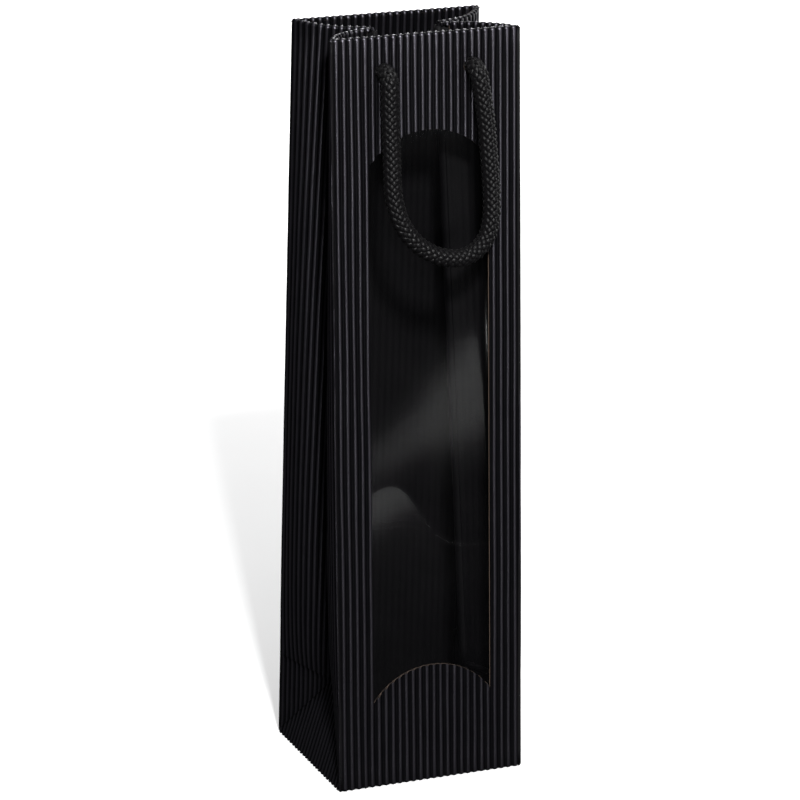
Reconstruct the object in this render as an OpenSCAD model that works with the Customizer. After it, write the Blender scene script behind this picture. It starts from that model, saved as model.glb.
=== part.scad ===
// Tall gift bag for one wine bottle: open-flute board, clear window, two braided cord handles.
// Millimetres, +Z up. The origin is the middle of the bottom, on the surface the bag stands on.
// The front panel faces -Y. Front and back panels lean inwards from the bottom to the narrow mouth.

/* [Bag] */
// Width of the front and back panels
bag_w = 95; // [88:1:110]
// Depth of the bottom
bag_d = 84; // [78:1:96]
// Height of the panels, measured along the board
panel_h = 360; // [340:5:400]
// Depth of the mouth as the bag stands
mouth_d = 50; // [46:1:60]
// How far the middle crease of each side is folded in at the mouth
side_fold = 30.5; // [28:0.5:32]

/* [Board] */
// Thickness of the open-flute board
board = 1.6; // [1.2:0.1:1.8]
// Height of the turned-in hem at the mouth
hem_h = 38; // [34:1:40]
// Width of the glue flap of the side seam
seam_w = 15; // [10:1:18]

/* [Window] */
// Width of the window
window_w = 59.5; // [50:0.5:62]
// Height of the window's lower corners above the bottom
window_low = 42; // [40:1:60]
// Height of the window's upper corners above the bottom
window_high = 299.5; // [270:0.5:300]
// Rise of the window's bottom and top arcs
window_rise = 15.5; // [8:0.5:20]
// How far the window and the cord holes sit to the right of the middle
window_shift = 1; // [0:0.5:2]
// Thickness of the clear film
film = 0.3; // [0.2:0.1:0.4]

/* [Cords] */
// Width of the braided cord
cord_d = 8; // [6:0.5:8]
// Diameter of the punched cord holes
hole_d = 8.4; // [8.2:0.1:9]
// Distance between the two holes of a panel
hole_gap = 43.4; // [40:0.2:46]
// Height of the holes above the bottom
hole_z = 343; // [336:1:346]

/* [Hidden] */
$fn = 64;
lean = asin((bag_d - mouth_d) / 2 / panel_h);
half_side = bag_d / 2;
fit = 0.3;
// Air between a curved side half and its hem
hem_gap = 0.25;
// First and last distance of a side half from its corner fold and its middle crease
side_start = 3.4;
crease_gap = 1.8;
// Angle of the creased triangles above the bottom, where the folds meet at height half_side
foot_tilt = acos((1 - sin(lean)) / cos(lean));
foot_fold = half_side * sin(foot_tilt);
crease_cut = 0.6;
diagonal_gap = 1.2;
film_border = 7;
hem_inset = 11;
hem_start = 8;
seam_start = 9;
flap_overlap = 12;
insert_t = 1;
knot_d = 12;
knot_h = 8;
knot_round = 3;
stub_d = cord_d - 0.4;
// Steps of the curved side halves along the height and across the width
side_rows = 14;
side_cols = 6;
cord_sides = 10;

// Route of a hanging cord on its panel: x, distance out of the panel, height above the bottom
cord_route = [
    [-20.7, 1.2, 343], [-20.8, 4, 342.6], [-21, 7, 340.4], [-21.2, 8, 336], [-21.2, 8, 327],
    [-20.9, 8, 316], [-20.6, 8, 302], [-20.2, 8, 290], [-18.9, 8, 282], [-15.8, 8, 273.5],
    [-10, 8, 265.4], [-2.5, 8, 259.4], [5.5, 8, 256.2], [13, 8, 255.4], [20, 8, 257.6],
    [25.4, 8, 263], [28.1, 8, 271], [28.6, 8, 282], [28, 8, 294], [27, 8, 306],
    [26, 8, 318], [24.6, 8, 328], [23.3, 8, 336], [22.9, 7, 340.4], [22.7, 4, 342.6],
    [22.7, 1.2, 343]];

board_black = [0.13, 0.12, 0.14];
liner_grey = [0.24, 0.23, 0.25];
cord_black = [0.08, 0.08, 0.09];

// Panel frame: the children's y is the depth behind the outer face, z runs up the board
module on_front() translate([0, -half_side, 0]) rotate([-lean, 0, 0]) children();
module on_back() mirror([0, 1, 0]) on_front() children();

// An outline in x and height, thick in y from depth y0
module plate(y0, t) translate([0, y0 + t, 0]) rotate([90, 0, 0]) linear_extrude(t) children();

// Window outline: straight sides, both arcs bulging upwards
window_r = (pow(window_w / 2, 2) + pow(window_rise, 2)) / (2 * window_rise);
window_span = asin(window_w / 2 / window_r);
arc_steps = 24;
// Points of an arc whose ends are at height z, from left to right
function window_arc(z) = [for (i = [-arc_steps:2:arc_steps]) let (a = window_span * i / arc_steps)
    [window_shift + window_r * sin(a), z + window_rise - window_r * (1 - cos(a))]];
module window_outline() {
    top = window_arc(window_high);
    polygon(concat(window_arc(window_low), [for (i = [len(top) - 1:-1:0]) top[i]]));
}

module cord_holes(y0, depth) {
    for (x = [-hole_gap / 2, hole_gap / 2])
        translate([window_shift + x, y0, hole_z]) rotate([-90, 0, 0]) cylinder(d = hole_d, h = depth);
}

// ---- Front and back panels ----
module front_panel() color(board_black) on_front() difference() {
    plate(0, board) difference() {
        translate([-bag_w / 2, 0.2]) square([bag_w, panel_h - 0.2]);
        window_outline();
    }
    cord_holes(-1, board + 2);
}

module panel_hem() difference() {
    plate(board, board) translate([-bag_w / 2 + hem_inset, panel_h - hem_h])
        square([bag_w - 2 * hem_inset, hem_h]);
    cord_holes(board - 1, board + 2);
}

module front_hem() color(board_black) on_front() panel_hem();
module back_hem() color(board_black) on_back() panel_hem();

module window_film() color([0.8, 0.85, 0.9, 0.4]) on_front()
    plate(board, film) translate([window_shift - window_w / 2 - film_border, window_low - film_border])
        square([window_w + 2 * film_border, panel_h - hem_h - window_low + film_border - 2]);

module back_panel() color(board_black) on_back() difference() {
    plate(0, board) translate([-bag_w / 2, 0.2]) square([bag_w, panel_h - 0.2]);
    cord_holes(-1, board + 2);
}

// The sheet's end, glued inside the back panel next to the left side
module seam_flap() color(liner_grey) on_back()
    plate(board, board) translate([-bag_w / 2 + seam_start, half_side])
        square([seam_w, panel_h - hem_h - half_side - 1]);

// ---- Sides ----
// A side half is a curved strip between the corner fold and the middle crease. At height h of the
// panel frame its crease is folded in by g, and the strip bows so that its width stays half_side.
function fold_in(h) = foot_fold + (side_fold - foot_fold) * (h - half_side) / (panel_h - half_side);
function half_depth(h) = (half_side - h * sin(lean)) / cos(lean);
function chord(h) = min(half_side - 0.01, norm([fold_in(h), half_depth(h)]));
function bow(h) = sqrt(3 * chord(h) * (half_side - chord(h)) / 8);
// Point at fraction q of the strip, at depth n on its inner side
function side_point(h, q, n) =
    let (a = atan2(fold_in(h), half_depth(h)),
        c = chord(h),
        out = 4 * bow(h) * q * (1 - q),
        turn = atan(4 * bow(h) * (1 - 2 * q) / c),
        b = a - turn)
    [-bag_w / 2 + c * q * sin(a) - out * cos(a) + n * cos(b),
        c * q * cos(a) + out * sin(a) - n * sin(b), h];

// Strip from height h0 to h1 and width fraction q0 to q1, between depths n0 and n1
module side_strip(h0, h1, q0, q1, n0, n1, rows) {
    ring = 2 * (side_cols + 1);
    points = [for (i = [0:rows]) let (h = h0 + (h1 - h0) * i / rows)
        each concat(
            [for (j = [0:side_cols]) side_point(h, q0 + (q1 - q0) * j / side_cols, n0)],
            [for (j = [side_cols:-1:0]) side_point(h, q0 + (q1 - q0) * j / side_cols, n1)])];
    walls = [for (i = [0:rows - 1]) for (j = [0:ring - 1])
        let (a = i * ring + j, b = i * ring + (j + 1) % ring)
        each [[a, a + ring, b], [b, a + ring, b + ring]]];
    cap = [for (j = [0:side_cols - 1])
        let (a = j, b = j + 1, c = ring - 2 - j, d = ring - 1 - j)
        each [[a, b, c], [a, c, d]]];
    top = [for (t = cap) [t[2] + rows * ring, t[1] + rows * ring, t[0] + rows * ring]];
    polyhedron(points, concat(walls, cap, top), convexity = 4);
}

side_q0 = side_start / half_side;
side_q1 = 1 - crease_gap / half_side;
module side_half() side_strip(half_side + crease_cut, panel_h - 0.3, side_q0, side_q1, 0, board, side_rows);
module side_hem() side_strip(panel_h - hem_h, panel_h - 0.3, hem_start / half_side, side_q1 - 0.03,
    board + hem_gap, 2 * board + hem_gap, 4);

// Triangle beside a corner, between the bottom corner's diagonal crease and the level crease
module corner_triangle() translate([-bag_w / 2, 0, 0]) rotate([0, 0, -foot_tilt])
    rotate([0, 0, -90]) mirror([1, 0, 0]) plate(0, board)
        polygon([[side_start, side_start + diagonal_gap], [side_start, half_side - crease_cut],
            [half_side - crease_gap - diagonal_gap, half_side - crease_cut]]);

// Triangle that stands on the bottom's short edge and leans in
module foot_triangle() {
    run = half_side - board - fit;
    translate([-bag_w / 2, 0, 0]) rotate([0, foot_tilt, 0])
        translate([board, 0, 0]) rotate([90, 0, -90]) linear_extrude(board)
            polygon([[-run, 0.7], [run, 0.7], [run, half_side - run - 0.2],
                [crease_gap, half_side - crease_gap - diagonal_gap],
                [-crease_gap, half_side - crease_gap - diagonal_gap],
                [-run, half_side - run - 0.2]]);
}

module left_side_front() color(board_black) on_front() side_half();
module left_side_back() color(board_black) on_back() side_half();
module right_side_front() color(board_black) mirror([1, 0, 0]) on_front() side_half();
module right_side_back() color(board_black) mirror([1, 0, 0]) on_back() side_half();
module left_side_front_hem() color(liner_grey) on_front() side_hem();
module left_side_back_hem() color(liner_grey) on_back() side_hem();
module right_side_front_hem() color(liner_grey) mirror([1, 0, 0]) on_front() side_hem();
module right_side_back_hem() color(liner_grey) mirror([1, 0, 0]) on_back() side_hem();
module left_corner_front() color(board_black) on_front() corner_triangle();
module left_corner_back() color(board_black) on_back() corner_triangle();
module right_corner_front() color(board_black) mirror([1, 0, 0]) on_front() corner_triangle();
module right_corner_back() color(board_black) mirror([1, 0, 0]) on_back() corner_triangle();
module left_foot() color(board_black) foot_triangle();
module right_foot() color(board_black) mirror([1, 0, 0]) foot_triangle();

// ---- Bottom: two flaps from the sides under the card, two long flaps glued over each other ----
flap_x = bag_w / 2 - board - 1.7;
flap_y = half_side - board - 0.6;
card_x = flap_x - 2;
card_y = flap_y - 2;
side_flap = 26;
module bottom_front_flap() color(board_black)
    translate([-flap_x, -flap_y, 0]) cube([2 * flap_x, flap_y + flap_overlap, board]);
module bottom_back_flap() color(board_black) translate([-flap_x, 0, 0])
    rotate([90, 0, 90]) linear_extrude(2 * flap_x)
        polygon([[flap_y, 0], [flap_y, board], [flap_overlap + 4, board], [flap_overlap + 2, 2 * board],
            [-flap_overlap, 2 * board], [-flap_overlap, board], [flap_overlap + 0.4, board],
            [flap_overlap + 2.4, 0]]);
module bottom_side_flaps() color(liner_grey)
    for (side = [-1, 1])
        translate([side * (card_x - side_flap / 2), 0, 2.5 * board])
            cube([side_flap, 2 * card_y, board], center = true);
module bottom_card() color([0.3, 0.29, 0.3])
    translate([0, 0, 3 * board + insert_t / 2])
        cube([2 * card_x, 2 * card_y, insert_t], center = true);

// ---- Cords ----
function on_panel(p) = [p[0], -p[1], p[2]];
function tangent(k) = let (n = len(cord_route) - 1,
    d = on_panel(cord_route[min(k + 1, n)]) - on_panel(cord_route[max(k - 1, 0)])) d / norm(d);
// Ring of the tube: across it lies the part of x square to the tangent, or of z on level stretches
function ring_x(k) = let (t = tangent(k), c = cross([0, 1, 0.001], t)) c / norm(c);
module cord_tube() {
    n = len(cord_route);
    function side_x(k) = (k <= 1 || k >= n - 2) ? [k <= 1 ? 1 : -1, 0, 0] : ring_x(k);
    points = [for (k = [0:n - 1])
        let (t = tangent(k), u0 = side_x(k), u = (u0 - t * (u0 * t)) / norm(u0 - t * (u0 * t)),
            v = cross(t, u))
        for (j = [0:cord_sides - 1])
            on_panel(cord_route[k]) + cord_d / 2 * (u * cos(360 * j / cord_sides) + v * sin(360 * j / cord_sides))];
    walls = [for (k = [0:n - 2]) for (j = [0:cord_sides - 1])
        let (a = k * cord_sides + j, b = k * cord_sides + (j + 1) % cord_sides)
        each [[a, a + cord_sides, b], [b, a + cord_sides, b + cord_sides]]];
    first = [for (j = [0:cord_sides - 1]) j];
    last = [for (j = [cord_sides - 1:-1:0]) (n - 1) * cord_sides + j];
    polyhedron(points, concat(walls, [first, last]), convexity = 6);
}

// Cord end through the board and the hem, with its knot behind the hem
module cord_knots() {
    for (x = [-hole_gap / 2, hole_gap / 2])
        translate([window_shift + x, 0, hole_z]) rotate([-90, 0, 0]) {
            translate([0, 0, 0.1]) cylinder(d = stub_d, h = 2 * board);
            translate([0, 0, 2 * board]) rotate_extrude() hull() {
                square([1, knot_h]);
                translate([knot_d / 2 - knot_round, knot_round]) circle(knot_round);
                translate([knot_d / 2 - knot_round, knot_h - knot_round]) circle(knot_round);
            }
        }
}

module front_cord() color(cord_black) on_front() cord_tube();
module front_cord_knots() color(cord_black) on_front() cord_knots();
module back_cord() color(cord_black) on_back() cord_tube();
module back_cord_knots() color(cord_black) on_back() cord_knots();

front_panel();
front_hem();
window_film();
back_panel();
back_hem();
seam_flap();
left_side_front();
left_side_back();
right_side_front();
right_side_back();
left_side_front_hem();
left_side_back_hem();
right_side_front_hem();
right_side_back_hem();
left_corner_front();
left_corner_back();
right_corner_front();
right_corner_back();
left_foot();
right_foot();
bottom_side_flaps();
bottom_front_flap();
bottom_back_flap();
bottom_card();
front_cord();
front_cord_knots();
back_cord();
back_cord_knots();
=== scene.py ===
# %% [markdown]
# # A gift bag for one wine bottle
# The bag is one sheet of open-flute board: a wavy outer paper glued on a flat liner. It is cut, folded
# and glued into a tall tube with a block bottom. The front has an arched window with clear film behind
# it, and each panel carries a braided cord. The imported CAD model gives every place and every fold, so
# the first step loads it and keeps its outer box for a later comparison.

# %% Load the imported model
import math
import bmesh
import bpy
import numpy as np
from mathutils import Matrix, Vector


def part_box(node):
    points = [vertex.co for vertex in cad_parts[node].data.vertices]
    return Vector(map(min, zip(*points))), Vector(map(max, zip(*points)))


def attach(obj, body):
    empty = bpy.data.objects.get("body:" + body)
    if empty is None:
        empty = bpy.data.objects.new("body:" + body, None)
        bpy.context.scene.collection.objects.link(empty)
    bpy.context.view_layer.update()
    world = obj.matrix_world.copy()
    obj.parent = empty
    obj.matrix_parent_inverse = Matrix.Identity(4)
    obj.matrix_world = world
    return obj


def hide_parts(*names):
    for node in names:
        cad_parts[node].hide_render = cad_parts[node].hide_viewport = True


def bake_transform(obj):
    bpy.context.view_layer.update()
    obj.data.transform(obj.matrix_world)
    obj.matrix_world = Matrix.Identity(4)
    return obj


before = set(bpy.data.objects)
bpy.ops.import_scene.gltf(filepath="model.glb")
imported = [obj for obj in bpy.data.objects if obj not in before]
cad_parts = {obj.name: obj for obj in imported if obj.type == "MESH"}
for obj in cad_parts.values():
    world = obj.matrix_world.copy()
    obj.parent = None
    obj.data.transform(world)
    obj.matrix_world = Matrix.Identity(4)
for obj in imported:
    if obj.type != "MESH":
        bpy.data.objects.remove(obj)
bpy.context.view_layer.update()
MM = 0.001

# %% [markdown]
# ## Sizes of the bag
# The sizes repeat the design's driving dimensions, in metres. The lean of the panels and the angle of the
# creased triangles follow from them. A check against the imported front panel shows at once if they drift.

# %% Sizes
BAG_W, BAG_D, PANEL_H, MOUTH_D = 95 * MM, 84 * MM, 360 * MM, 50 * MM
BOARD, HEM_H = 1.6 * MM, 38 * MM
HALF_SIDE = BAG_D / 2
SIDE_FOLD = 30.5 * MM
LEAN = math.asin((BAG_D - MOUTH_D) / 2 / PANEL_H)
FOOT_TILT = math.acos((1 - math.sin(LEAN)) / math.cos(LEAN))
WINDOW_W, WINDOW_LOW, WINDOW_HIGH, WINDOW_RISE = 59.5 * MM, 42 * MM, 299.5 * MM, 15.5 * MM
WINDOW_X = 1 * MM
WINDOW_R = (WINDOW_W ** 2 / 4 + WINDOW_RISE ** 2) / (2 * WINDOW_RISE)
HOLE_R, HOLE_GAP, HOLE_Z = 4.2 * MM, 43.4 * MM, 343 * MM
low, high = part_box("front_panel")
print("front panel box", low, high, "width by the sizes", BAG_W)

# %% [markdown]
# ## The panel frame
# Most pieces are easier to draw flat against a panel: x across, y as the depth behind the outer face, and
# z up the board. One function leans such points back into the bag's frame. The back panel is the front
# one mirrored in y, and the right side is the left one mirrored in x. So most functions take two flags,
# back and right_side, and the flags also pick the names from ENDS and SIDES.

# %% From the panel frame to the bag
ENDS, SIDES = ("front", "back"), ("left", "right")


def stacked(x, y, z):
    """Rows of points from their coordinates; a plain number stands for a whole column."""
    return np.stack(np.broadcast_arrays(x, y, z), axis=1).astype(float)


def leaned(points, back=False):
    """Points of the panel frame, placed in the bag's frame."""
    p = np.asarray(points, float).reshape(-1, 3)
    y = -HALF_SIDE + p[:, 1] * math.cos(LEAN) + p[:, 2] * math.sin(LEAN)
    z = -p[:, 1] * math.sin(LEAN) + p[:, 2] * math.cos(LEAN)
    return stacked(p[:, 0], -y if back else y, z)


def turned(vectors, back=False):
    """Directions of the panel frame, turned into the bag's frame."""
    return leaned(vectors, back) - leaned([[0, 0, 0]], back)


print("lean in degrees", round(math.degrees(LEAN), 2), "crease tilt", round(math.degrees(FOOT_TILT), 2))

# %% [markdown]
# ## Small helpers
# Colours are written as sRGB hex values and turned to linear once. One function adds a node to any tree,
# sets its options and fills or links its inputs, so that a tree reads as a list of steps. Another one
# finishes a piece: it fixes most pieces to their body in the imported model, so that they move with it; a
# piece given a bend is only baked in place and fixed to no body.

# %% Helpers for colours, nodes and objects
def colour(hex_value):
    """An sRGB hex value as a linear RGBA tuple."""
    channels = [int(hex_value[i:i + 2], 16) / 255 for i in (1, 3, 5)]
    return tuple(c / 12.92 if c <= 0.04045 else ((c + 0.055) / 1.055) ** 2.4 for c in channels) + (1.0,)


def add(tree, kind, inputs=None, **options):
    """A new node. options are its properties; inputs maps a socket's name or number to its value."""
    node = tree.nodes.new(kind)
    for key, value in options.items():
        setattr(node, key, value)
    for key, value in (inputs or {}).items():
        if isinstance(value, bpy.types.NodeSocket):
            tree.links.new(value, node.inputs[key])
        else:
            node.inputs[key].default_value = value
    return node


def object_from(name, data):
    """A mesh, curve, light or camera as a new object at the origin."""
    made = bpy.data.objects.new(name, data)
    bpy.context.scene.collection.objects.link(made)
    return made


def smooth_object(name, points, faces, paint):
    """A smooth-shaded mesh object in one material."""
    mesh = bpy.data.meshes.new(name)
    mesh.from_pydata(points, [], faces)
    mesh.materials.append(paint)
    mesh.polygons.foreach_set("use_smooth", np.ones(len(faces), bool))
    return object_from(name, mesh)


def grid_faces(rows, columns):
    """Faces of a grid whose points run along each row in turn."""
    return [(r * columns + c, r * columns + c + 1, (r + 1) * columns + c + 1, (r + 1) * columns + c)
            for r in range(rows - 1) for c in range(columns - 1)]


def settled(obj):
    """The object with its modifiers' result as its plain mesh."""
    bpy.context.view_layer.update()
    evaluated = obj.evaluated_get(bpy.context.evaluated_depsgraph_get())
    mesh = bpy.data.meshes.new_from_object(evaluated)
    obj.modifiers.clear()
    if obj.type == "CURVE":
        made = object_from(obj.name + "_mesh", mesh)
        name = obj.name
        bpy.data.objects.remove(obj)
        made.name = name
        return made
    obj.data = mesh
    return obj


def with_tree(obj, tree, values):
    """Runs a geometry tree on an object, with values by input name, and keeps the result."""
    modifier = obj.modifiers.new("tree", "NODES")
    modifier.node_group = tree
    for item in tree.interface.items_tree:
        if item.item_type == "SOCKET" and item.in_out == "INPUT" and item.name in values:
            modifier[item.identifier] = values[item.name]
    return settled(obj)


def tree_with(name, sockets):
    """A new geometry tree with a geometry input and output and the given inputs: name, type, value."""
    tree = bpy.data.node_groups.new(name, "GeometryNodeTree")
    tree.interface.new_socket("Geometry", in_out="INPUT", socket_type="NodeSocketGeometry")
    tree.interface.new_socket("Geometry", in_out="OUTPUT", socket_type="NodeSocketGeometry")
    for label, kind, value in sockets:
        socket = tree.interface.new_socket(label, in_out="INPUT", socket_type=kind)
        if value is not None:
            socket.default_value = value
    return tree, tree.nodes.new("NodeGroupInput").outputs


def join(name, parts):
    """Several mesh objects as one, with the first one's mesh in front."""
    bpy.ops.object.select_all(action="DESELECT")
    for part in parts:
        part.select_set(True)
    bpy.context.view_layer.objects.active = parts[0]
    bpy.ops.object.join()
    parts[0].name = name
    return parts[0]


def finished(obj, body, nodes, blend_to=None):
    """Fixes a piece to its CAD body, unless blend_to is given, when it only bakes the piece in place; hides
    the CAD nodes it stands for and renames the piece.
    """
    obj.name = "made_" + obj.name.replace(", ", "_").replace(" ", "_")
    if blend_to is None:
        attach(obj, body)
    else:
        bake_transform(obj)
    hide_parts(*nodes)
    print(obj.name, "triangles", sum(len(p.vertices) - 2 for p in obj.data.polygons))


print("helpers ready")

# %% [markdown]
# ## The camera
# The bag was seen from its front left and a little above, from two metres away with a long lens, so its
# edges hardly converge. The camera's place and turn are written as numbers that were fitted to the bag's
# corners.

# %% Camera
CAMERA_AT = Vector((-0.6989, -1.7076, 0.7573))
CAMERA_TURN, CAMERA_DOWN, CAMERA_ROLL = 0.3880, 0.3046, 0.0095
LENS, SENSOR_W, FAR = 184.2, 36, 20
right = Vector((math.cos(CAMERA_TURN), -math.sin(CAMERA_TURN), 0))
ahead = Vector((math.sin(CAMERA_TURN) * math.cos(CAMERA_DOWN),
                math.cos(CAMERA_TURN) * math.cos(CAMERA_DOWN), -math.sin(CAMERA_DOWN)))
up = right.cross(ahead)
rolled_right = math.cos(CAMERA_ROLL) * right + math.sin(CAMERA_ROLL) * up
rolled_up = math.cos(CAMERA_ROLL) * up - math.sin(CAMERA_ROLL) * right
camera_data = bpy.data.cameras.new("camera")
camera_data.sensor_width, camera_data.lens, camera_data.clip_end = SENSOR_W, LENS, FAR
camera = object_from("camera", camera_data)
turn = Matrix((rolled_right, rolled_up, -ahead)).transposed()
camera.matrix_world = Matrix.Translation(CAMERA_AT) @ turn.to_4x4()
bpy.context.scene.camera = camera
print("camera at", CAMERA_AT, "lens", camera_data.lens)

# %% [markdown]
# ## Materials
# Open-flute board of this kind is black-coloured kraft paper: matt, with a faint violet cast and fine
# fibres. Its brown core only shows where it is cut. The crests of the flutes are lighter than the valleys,
# partly from rubbing wear and partly as painted shade left in the valleys.
# Patterns are worked out in millimetres from Object coordinates, which are in metres.

# %% Material helpers
def material(name):
    """A new material with its tree, shader and object coordinates."""
    made = bpy.data.materials.new(name)
    made.use_nodes = True
    tree = made.node_tree
    shader = tree.nodes["Principled BSDF"]
    place = tree.nodes.new("ShaderNodeTexCoord").outputs["Object"]
    return made, tree, shader, place


def noise(tree, place, size, detail=4.0, stretch=(1, 1, 1)):
    """Noise whose features are about size across, in metres, and longer where stretch is small."""
    mapped = add(tree, "ShaderNodeMapping", {"Vector": place, "Scale": stretch})
    return add(tree, "ShaderNodeTexNoise", {"Vector": mapped.outputs[0], "Scale": 1 / size,
                                            "Detail": detail, "Roughness": 0.6}).outputs["Fac"]


def ramp(tree, factor, stops):
    """A colour ramp with stops of position and hex colour."""
    node = add(tree, "ShaderNodeValToRGB", {"Fac": factor})
    elements = node.color_ramp.elements
    while len(elements) < len(stops):
        elements.new(0.5)
    for element, (at, hex_value) in zip(elements, stops):
        element.position = at
        element.color = colour(hex_value)
    return node.outputs["Color"]


def bump(tree, shader, height, strength, distance):
    """A bump from a height socket on the shader's normal; distance is in metres."""
    node = add(tree, "ShaderNodeBump", {"Height": height, "Strength": strength, "Distance": distance})
    tree.links.new(node.outputs["Normal"], shader.inputs["Normal"])


def dress(tree, shader, tone, **values):
    """Links the base colour and sets or links the shader's other inputs, with _ for a space."""
    tree.links.new(tone, shader.inputs["Base Color"])
    for label, value in values.items():
        socket = shader.inputs[label.replace("_", " ")]
        if isinstance(value, bpy.types.NodeSocket):
            tree.links.new(value, socket)
        else:
            socket.default_value = value


def ranged(tree, value, from_low, from_high, to_low, to_high, **options):
    """A value mapped from one range to another."""
    return add(tree, "ShaderNodeMapRange", {0: value, 1: from_low, 2: from_high, 3: to_low, 4: to_high},
               **options).outputs[0]


def mixed(tree, factor, first, second):
    """Two colours mixed by a factor."""
    return add(tree, "ShaderNodeMix", {"Factor": factor, "A": first, "B": second},
               data_type="RGBA").outputs["Result"]


def math_node(tree, operation, *values):
    """A math node's output for up to three values or sockets."""
    return add(tree, "ShaderNodeMath", dict(enumerate(values)), operation=operation).outputs[0]


# %% [markdown]
# ## Black kraft, braid yarn and clear film
# The dyed paper is almost black. Only the crests of the flutes carry a soft shine, because they are rubbed
# smooth, and the valleys stay dull. Each cut edge shows the brown core of the board. All patterns use object
# coordinates, so they stay on the paper when a panel moves.

# %% The six materials
def fluted_paper():
    """Black kraft, matt, fibres a few tenths of a millimetre long; darker valleys are partly wear, partly
    painted shade.
    """
    made, tree, shader, place = material("black kraft, fluted")
    mottle = noise(tree, place, 9 * MM)
    fibres = noise(tree, place, 0.35 * MM, 6, (1, 1, 0.35))
    ground = ramp(tree, mottle, [(0.3, "#040405"), (0.7, "#060607")])
    # Lighter crest tone, mixed in by the crest value: partly rubbing wear, partly painted shade that keeps
    # the valleys between the flutes darker.
    worn_and_lit_crest = ramp(tree, fibres, [(0.3, "#0b0a0c"), (0.75, "#131215")])
    crest = add(tree, "ShaderNodeAttribute", attribute_name="crest").outputs["Fac"]
    wear_and_valley_shade = ranged(tree, crest, 0.4, 0.95, 0.0, 0.9, interpolation_type="SMOOTHSTEP")
    polish = ranged(tree, crest, 0.35, 0.9, 0.03, 0.6, interpolation_type="SMOOTHSTEP")
    dress(tree, shader, mixed(tree, wear_and_valley_shade, ground, worn_and_lit_crest), Specular_IOR_Level=polish,
          Roughness=ranged(tree, fibres, 0.3, 0.7, 0.3, 0.4), Specular_Tint=colour("#f3efff"))
    bump(tree, shader, fibres, 0.4, 0.05 * MM)
    return made


def liner_paper():
    """The flat liner inside the bag: the same black kraft, machine-smooth."""
    made, tree, shader, place = material("black kraft, liner")
    fibres = noise(tree, place, 0.5 * MM, 6, (1, 1, 0.4))
    both = math_node(tree, "MULTIPLY", fibres, noise(tree, place, 14 * MM))
    dress(tree, shader, ramp(tree, both, [(0.12, "#040405"), (0.4, "#09080a")]),
          Roughness=0.6, Specular_IOR_Level=0.1)
    bump(tree, shader, fibres, 0.35, 0.05 * MM)
    return made


def cut_kraft():
    """The cut edge of the board, where the undyed brown core shows with its torn fibres."""
    made, tree, shader, place = material("kraft cut edge")
    fibres = noise(tree, place, 0.25 * MM, 5)
    dress(tree, shader, ramp(tree, fibres, [(0.25, "#1f1915"), (0.5, "#40342b"), (0.8, "#5c4b3e")]),
          Roughness=0.85)
    bump(tree, shader, fibres, 0.6, 0.08 * MM)
    return made


def braid_yarn():
    """Black polypropylene yarn, slightly glossy, with its filaments running along each strand."""
    made, tree, shader, place = material("black braid yarn")
    across = add(tree, "ShaderNodeAttribute", attribute_name="across_strand").outputs["Fac"]
    spread = add(tree, "ShaderNodeCombineXYZ", {"X": across}).outputs[0]
    filaments = add(tree, "ShaderNodeTexWave", {"Vector": spread, "Scale": 1.0, "Distortion": 0.0},
                    wave_type="BANDS").outputs["Fac"]
    both = math_node(tree, "MULTIPLY", filaments, noise(tree, place, 0.4 * MM, 5))
    dress(tree, shader, ramp(tree, both, [(0.05, "#030303"), (0.5, "#0c0b0d")]), Roughness=0.38,
          Specular_IOR_Level=0.11, Sheen_Weight=0.01, Sheen_Roughness=0.5)
    bump(tree, shader, both, 0.6, 0.1 * MM)
    return made


def clear_film():
    """Clear polypropylene film: almost no colour, high gloss, faint haze from handling."""
    made, tree, shader, place = material("clear film")
    haze = noise(tree, place, 30 * MM, 3)
    dress(tree, shader, ramp(tree, haze, [(0.3, "#020203"), (0.7, "#040405")]),
          Roughness=ranged(tree, haze, 0.3, 0.7, 0.15, 0.21), IOR=1.49, Specular_IOR_Level=0.6, Alpha=0.3)
    return made


def grey_card():
    """Recycled grey-black card of the loose base insert."""
    made, tree, shader, place = material("dark insert card")
    flecks = noise(tree, place, 0.8 * MM, 6)
    dress(tree, shader, ramp(tree, flecks, [(0.3, "#232225"), (0.6, "#333135"), (0.8, "#403d42")]),
          Roughness=0.8)
    bump(tree, shader, flecks, 0.3, 0.08 * MM)
    return made


FLUTED, LINER, CUT, YARN, FILM, CARD = (fluted_paper(), liner_paper(), cut_kraft(), braid_yarn(),
                                        clear_film(), grey_card())
print("materials", [m.name for m in (FLUTED, LINER, CUT, YARN, FILM, CARD)])

# %% [markdown]
# ## The cord handles
# A cord of this kind is a hollow braid over a core: six strands wind one way and six the other, and each
# passes over and under in turn. The tree below builds that from one centreline. It copies the line twelve
# times, winds each copy round it, lets its radius rise and fall between crossings, and sweeps a flat
# ellipse along it. The radius of the centreline's points lets the same braid swell into the end knot.

# %% Geometry tree for the braid
def vector_node(tree, operation, *values):
    """A vector math node's output for up to three values or sockets."""
    return add(tree, "ShaderNodeVectorMath", dict(enumerate(values)), operation=operation).outputs[0]


def geo(tree, kind, inputs=None, **options):
    """The first output of a new geometry node."""
    return add(tree, "GeometryNode" + kind, inputs, **options).outputs[0]


def store(tree, geometry, label, value, kind="FLOAT"):
    """The geometry with a named value stored on its points."""
    return geo(tree, "StoreNamedAttribute", {0: geometry, "Name": label, "Value": value}, data_type=kind)


def read(tree, label, kind="FLOAT"):
    """A stored value, read back."""
    return geo(tree, "InputNamedAttribute", {"Name": label}, data_type=kind)


def end_tree(tree, geometry):
    """Ends a tree: makes its geometry real and gives it out."""
    add(tree, "NodeGroupOutput", {"Geometry": geo(tree, "RealizeInstances", {0: geometry})})


def scaled(tree, vector, factor):
    """A vector socket times a number."""
    return add(tree, "ShaderNodeVectorMath", {0: vector, "Scale": factor}, operation="SCALE").outputs[0]


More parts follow.
